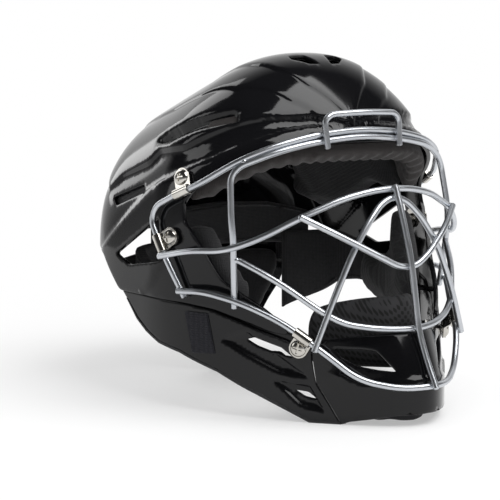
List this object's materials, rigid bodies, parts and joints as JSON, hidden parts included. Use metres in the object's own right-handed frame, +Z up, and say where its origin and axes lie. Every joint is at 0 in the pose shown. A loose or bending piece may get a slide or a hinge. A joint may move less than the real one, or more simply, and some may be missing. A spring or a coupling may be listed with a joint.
{
  "type": "baseball catcher helmet",
  "caption": "Catcher's helmet with a layered hard shell, jaw panels, chin guard, welded wire face cage and a sprung back plate.",
  "frame": {"origin": "centre of the bounding box, on the surface that the helmet stands on", "axes": "+X to the wearer's left, -Y the way the face looks, +Z up as the helmet stands face up by 22 degrees"},
  "size_m": [0.2412, 0.2939, 0.2429],
  "materials": {
    "cage_steel": "satin silver coated steel wire",
    "chin_foam": "black moulded foam",
    "chin_gloss": "gloss black moulded ABS",
    "chin_mesh": "black spacer mesh over foam",
    "clip_nickel": "nickel plated strip",
    "elastic": "black woven elastic",
    "jaw_gloss": "gloss black moulded ABS",
    "liner_fabric": "black knitted lining over foam",
    "liner_suede": "dark grey brown brushed lining",
    "plate_fabric": "black knitted lining over foam",
    "plate_plastic": "gloss black moulded ABS",
    "screw_nickel": "nickel plated steel",
    "shell_gloss": "gloss black moulded ABS",
    "trim_rubber": "dark rubber edge trim",
    "webbing": "black polyester webbing"
  },
  "bodies": {
    "helmet": {"brow_clip_left": "clip_nickel", "brow_clip_right": "clip_nickel", "cage_centre_bar": "cage_steel", "cage_chin_frame": "cage_steel", "cage_inner_frame": "cage_steel", "cage_lower_eye_bar": "cage_steel", "cage_mouth_bar": "cage_steel", "cage_nose_arch": "cage_steel", "cage_outer_frame": "cage_steel", "cage_upper_eye_bar": "cage_steel", "cage_visor_loop": "cage_steel", "cheek_pad_left": "liner_fabric", "cheek_pad_right": "liner_fabric", "chin_foam": "chin_foam", "chin_guard": "chin_gloss", "chin_pad": "chin_mesh", "clip_nuts": "screw_nickel", "clip_screws": "screw_nickel", "crown_pad": "liner_fabric", "ear_clip_left": "clip_nickel", "ear_clip_right": "clip_nickel", "forehead_pad": "liner_suede", "jaw_clip_left": "clip_nickel", "jaw_clip_right": "clip_nickel", "jaw_panel_left": "jaw_gloss", "jaw_panel_right": "jaw_gloss", "jaw_trim_left": "trim_rubber", "jaw_trim_right": "trim_rubber", "side_pad_left": "liner_fabric", "side_pad_right": "liner_fabric", "side_strap_left": "elastic", "side_strap_right": "elastic", "skull_shell": "shell_gloss", "strap_loop_left": "webbing", "strap_loop_right": "webbing"},
    "back_plate": {"back_plate": "plate_plastic", "back_plate_pad": "plate_fabric"}
  },
  "joints": [
    {"name": "plate_slide", "type": "slide", "parent": "helmet", "child": "back_plate", "axis": [0, 1, 0], "range_m": [0, 0.025], "stiffness_N_per_m": 150, "springref_m": -0.02, "deforming": ["side_strap_right", "side_strap_left"]}
  ]
}
